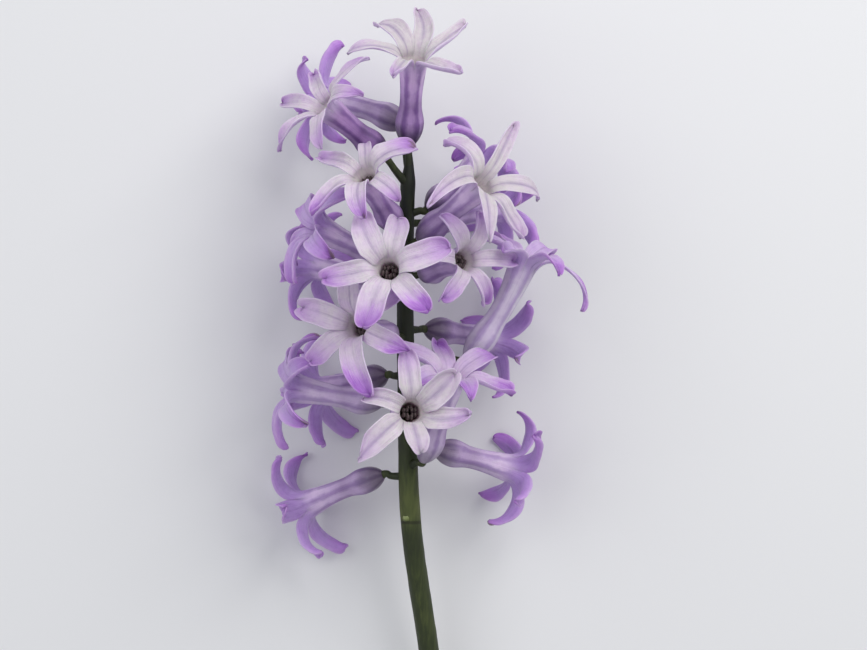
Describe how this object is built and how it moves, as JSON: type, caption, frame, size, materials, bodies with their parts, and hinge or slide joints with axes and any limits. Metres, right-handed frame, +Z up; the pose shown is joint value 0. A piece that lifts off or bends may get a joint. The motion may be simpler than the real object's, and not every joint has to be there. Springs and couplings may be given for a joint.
{
  "type": "cut hyacinth flower",
  "caption": "Cut hyacinth flower lying on its side: a fleshy green stem that carries a loose spike of lilac, bell-shaped florets with spreading, curled lobes.",
  "frame": {"origin": "middle of the flower's box, on the surface it lies on", "axes": "+Y runs up the stem to the tip of the spike, +Z is up from the surface, +X is to the right seen from above"},
  "size_m": [0.0746, 0.2128, 0.0633],
  "materials": {
    "stem": "satin",
    "pale_petal": "satin",
    "lilac_petal": "satin",
    "violet_petal": "satin"
  },
  "bodies": {
    "root": {"stem": "stem", "bell_01": "lilac_petal", "bell_02": "violet_petal", "bell_03": "violet_petal", "bell_04": "pale_petal", "bell_05": "violet_petal", "bell_06": "lilac_petal", "bell_07": "violet_petal", "bell_08": "pale_petal", "bell_09": "violet_petal", "bell_10": "pale_petal", "bell_11": "violet_petal", "bell_12": "lilac_petal", "bell_13": "lilac_petal", "bell_14": "pale_petal", "bell_15": "violet_petal", "bell_16": "lilac_petal", "bell_17": "violet_petal", "bell_18": "lilac_petal", "bell_19": "lilac_petal", "bell_20": "pale_petal"}
  },
  "joints": []
}
